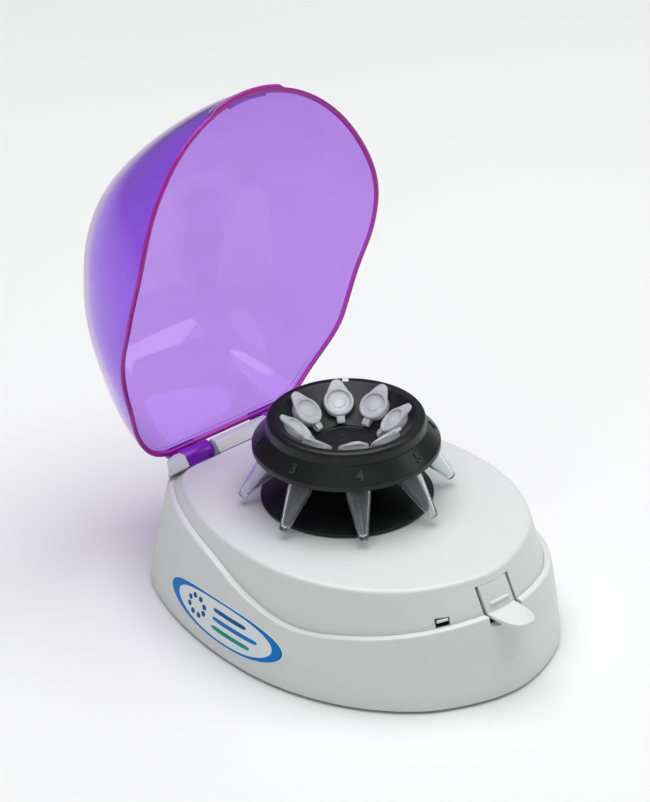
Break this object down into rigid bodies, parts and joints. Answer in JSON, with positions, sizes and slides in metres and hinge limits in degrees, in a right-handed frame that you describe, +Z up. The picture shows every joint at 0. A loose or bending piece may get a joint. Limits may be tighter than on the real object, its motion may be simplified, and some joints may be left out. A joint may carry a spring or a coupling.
{
  "type": "laboratory mini centrifuge",
  "caption": "Bench-top mini centrifuge: egg-shaped white housing, hinged clear violet dome lid held open, and a black fixed-angle rotor carrying capped micro tubes.",
  "frame": {"origin": "on the rotor axis, at the underside of the base plate; the feet reach 1 mm lower", "axes": "+Z up along the rotor axis, -Y towards the latch at the front, +Y towards the lid hinge, +X to the right seen from the front"},
  "size_m": [0.147, 0.2454, 0.2235],
  "materials": {
    "white_shell": "satin white moulded ABS",
    "grey_plastic": "fine textured grey moulding",
    "rubber": "matt black rubber",
    "steel": "bright plated steel",
    "badge_print": "printed film, blue ring on a pale field",
    "black_plastic": "matt black moulding",
    "magnet": "sintered ferrite",
    "bronze": "sintered bronze",
    "winding": "varnished copper winding and laminations",
    "circuit_board": "green solder mask",
    "lead_insulation": "red insulation",
    "rotor_black": "satin black moulding",
    "clear_violet": "clear violet polycarbonate, polished",
    "tube_natural": "translucent natural polypropylene"
  },
  "bodies": {
    "base": {"lower_housing": "white_shell", "upper_housing": "white_shell", "hinge_rail": "white_shell", "base_plate": "grey_plastic", "rubber_feet": "rubber", "housing_screws": "steel", "hinge_pins": "steel", "flank_badge": "badge_print", "power_inlet": "black_plastic", "inlet_contact": "steel", "inlet_nut": "steel", "rocker_frame": "black_plastic", "lid_switch": "black_plastic", "motor_can": "steel", "motor_cap": "grey_plastic", "motor_magnets": "magnet", "upper_bearing": "bronze", "lower_bearing": "bronze", "motor_bracket": "steel", "damper_rings": "rubber", "bracket_screws": "steel", "control_board": "circuit_board", "board_parts": "black_plastic", "board_screws": "steel", "wiring": "lead_insulation"},
    "lid": {"lid_dome": "clear_violet", "lid_lip": "clear_violet", "lid_knuckles": "clear_violet"},
    "rotor": {"motor_shaft": "steel", "motor_armature": "winding", "rotor_head": "rotor_black", "rotor_skirt": "rotor_black", "tube_1": "tube_natural", "tube_2": "tube_natural", "tube_3": "tube_natural", "tube_4": "tube_natural", "tube_5": "tube_natural", "tube_6": "tube_natural", "tube_7": "tube_natural", "tube_8": "tube_natural"},
    "latch": {"latch_tongue": "white_shell"},
    "plunger": {"switch_plunger": "white_shell"},
    "rocker": {"rocker_button": "black_plastic"}
  },
  "joints": [
    {"name": "lid_hinge", "type": "hinge", "parent": "base", "child": "lid", "pos_m": [0, 0.0733, 0.0498], "axis": [1, 0, 0], "range_deg": [0, 89]},
    {"name": "rotor_spin", "type": "hinge", "parent": "base", "child": "rotor", "pos_m": [0, 0, 0.05], "axis": [0, 0, 1], "continuous": true},
    {"name": "latch_flex", "type": "hinge", "parent": "base", "child": "latch", "pos_m": [0, -0.0896, 0.047], "axis": [1, 0, 0], "range_deg": [0, 4], "stiffness_Nm_per_rad": 1.2},
    {"name": "switch_press", "type": "slide", "parent": "base", "child": "plunger", "axis": [0.2924, 0.9563, 0], "range_m": [0, 0.0015], "stiffness_N_per_m": 300},
    {"name": "rocker_turn", "type": "hinge", "parent": "base", "child": "rocker", "pos_m": [-0.024, 0.0724, 0.016], "axis": [1, 0, 0], "range_deg": [0, 18]}
  ]
}
